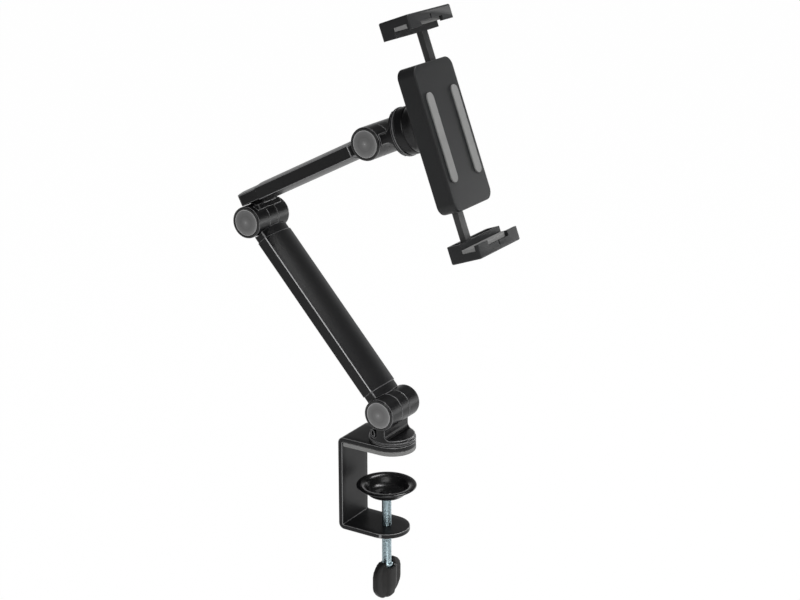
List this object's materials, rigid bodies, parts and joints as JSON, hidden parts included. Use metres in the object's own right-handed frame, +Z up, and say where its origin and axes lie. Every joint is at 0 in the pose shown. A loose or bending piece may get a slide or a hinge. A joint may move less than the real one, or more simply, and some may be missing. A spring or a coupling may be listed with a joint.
{
  "type": "tablet holder",
  "caption": "Clamp-on tablet holder: desk clamp, two folding arms with friction hinges and swivels, and a turning head with sliding jaws.",
  "frame": {"origin": "on the clamp screw axis, at the underside of the clamp pad, where the desk top lies", "axes": "+Z up; -Y is the side the held tablet faces; X runs along the hinge barrels"},
  "size_m": [0.062, 0.2382, 0.4976],
  "materials": {
    "bracket_paint": "satin black powder coat",
    "clamp_pad": "mid grey closed-cell rubber",
    "plate_enamel": "glossy black enamel",
    "zinc_plate": "bright zinc plate with a blue passivate",
    "knob_plastic": "fine matt moulded nylon",
    "satin_black_casting": "satin black paint on a zinc casting",
    "rim_plastic": "black moulded rim",
    "spun_disc": "grey anodised disc with spun rings",
    "arm_paint": "satin black anodised extrusion",
    "blackened_steel": "black oxide steel",
    "bearing_nylon": "black acetal",
    "head_plastic": "fine matt moulded ABS",
    "rack_plastic": "black acetal",
    "grip_rubber": "grey foamed rubber",
    "spring_steel": "bare spring steel"
  },
  "bodies": {
    "clamp": {"clamp_bracket": "bracket_paint", "clamp_pad": "clamp_pad", "base_swivel_washer": "bearing_nylon"},
    "pressure_plate": {"pressure_plate": "plate_enamel"},
    "clamp_screw": {"clamp_screw": "zinc_plate", "screw_collar": "zinc_plate", "wing_knob": "knob_plastic"},
    "base_yoke": {"base_yoke": "satin_black_casting", "base_set_screw": "blackened_steel", "base_swivel_bolt": "blackened_steel", "base_hinge_bolt": "blackened_steel", "base_hinge_nut": "blackened_steel", "base_friction_washers": "bearing_nylon", "base_barrel_rims": "rim_plastic", "base_barrel_discs": "spun_disc"},
    "lower_arm": {"lower_arm_tube": "arm_paint", "lower_arm_bottom_end": "satin_black_casting", "lower_arm_bottom_bush": "bearing_nylon", "lower_arm_top_end": "satin_black_casting", "lower_arm_top_bush": "bearing_nylon"},
    "elbow_yoke": {"elbow_yoke": "satin_black_casting", "elbow_swivel_screw": "blackened_steel", "elbow_swivel_washer": "blackened_steel", "elbow_hinge_bolt": "blackened_steel", "elbow_hinge_nut": "blackened_steel", "elbow_friction_washers": "bearing_nylon", "elbow_barrel_rims": "rim_plastic", "elbow_barrel_discs": "spun_disc"},
    "upper_arm": {"upper_arm_tube": "arm_paint", "upper_arm_rear_end": "satin_black_casting", "upper_arm_front_end": "satin_black_casting", "upper_arm_bush": "bearing_nylon"},
    "head_yoke": {"head_yoke": "satin_black_casting", "head_swivel_bolt": "blackened_steel", "head_swivel_washer": "bearing_nylon", "head_hinge_bolt": "blackened_steel", "head_hinge_nut": "blackened_steel", "head_friction_washers": "bearing_nylon", "head_barrel_rims": "rim_plastic", "head_barrel_discs": "spun_disc"},
    "holder": {"swivel_hub": "satin_black_casting", "hub_screws": "blackened_steel", "housing_back": "head_plastic", "housing_front": "head_plastic", "housing_screws": "blackened_steel", "pinion_axle": "spring_steel", "tablet_rest_pads": "grip_rubber", "jaw_brake_springs": "spring_steel"},
    "jaw_pinion": {"jaw_pinion": "rack_plastic"},
    "upper_jaw": {"upper_jaw": "head_plastic", "upper_jaw_pad": "grip_rubber", "upper_jaw_rack": "rack_plastic", "upper_jaw_screws": "blackened_steel"},
    "lower_jaw": {"lower_jaw": "head_plastic", "lower_jaw_pad": "grip_rubber", "lower_jaw_rack": "rack_plastic", "lower_jaw_screws": "blackened_steel"}
  },
  "joints": [
    {"name": "clamp_travel", "type": "slide", "parent": "clamp", "child": "pressure_plate", "axis": [0, 0, 1], "range_m": [-0.027, 0.0275]},
    {"name": "screw_spin", "type": "hinge", "parent": "pressure_plate", "child": "clamp_screw", "pos_m": [0, 0, -0.07], "axis": [0, 0, 1], "range_deg": [-7776, 7920]},
    {"name": "base_swivel", "type": "hinge", "parent": "clamp", "child": "base_yoke", "pos_m": [0, -0.0057, 0.0075], "axis": [0, 0, 1], "continuous": true},
    {"name": "lower_hinge", "type": "hinge", "parent": "base_yoke", "child": "lower_arm", "pos_m": [0, -0.0057, 0.0352], "axis": [1, 0, 0], "range_deg": [-48, 100]},
    {"name": "elbow_hinge", "type": "hinge", "parent": "lower_arm", "child": "elbow_yoke", "pos_m": [0, 0.12134, 0.17729], "axis": [1, 0, 0], "range_deg": [-124, 19]},
    {"name": "elbow_swivel", "type": "hinge", "parent": "elbow_yoke", "child": "upper_arm", "pos_m": [0, 0.11378, 0.18117], "axis": [0, 0.4571, 0.8894], "range_deg": [-40, 40]},
    {"name": "head_hinge", "type": "hinge", "parent": "upper_arm", "child": "head_yoke", "pos_m": [0, 0.00554, 0.25715], "axis": [-1, 0, 0], "range_deg": [-85, 85]},
    {"name": "head_spin", "type": "hinge", "parent": "head_yoke", "child": "holder", "pos_m": [0, -0.02044, 0.26676], "axis": [0, -0.9379, 0.3469], "continuous": true},
    {"name": "jaw_slide", "type": "slide", "parent": "holder", "child": "upper_jaw", "axis": [0, 0.3469, 0.9379], "range_m": [-0.02225, 0.02525]},
    {"name": "lower_jaw_slide", "type": "slide", "parent": "holder", "child": "lower_jaw", "axis": [0, -0.3469, -0.9379], "range_m": [-0.02225, 0.02525]},
    {"name": "pinion_spin", "type": "hinge", "parent": "holder", "child": "jaw_pinion", "pos_m": [0, -0.0522, 0.26678], "axis": [0, -0.9379, 0.3469], "range_deg": [-165, 185]}
  ],
  "couplings": [
    {"joint": "screw_spin", "follows": "clamp_travel", "rad_per_m": 5026.5},
    {"joint": "lower_jaw_slide", "follows": "jaw_slide", "ratio": 1},
    {"joint": "pinion_spin", "follows": "jaw_slide", "rad_per_m": 125}
  ]
}
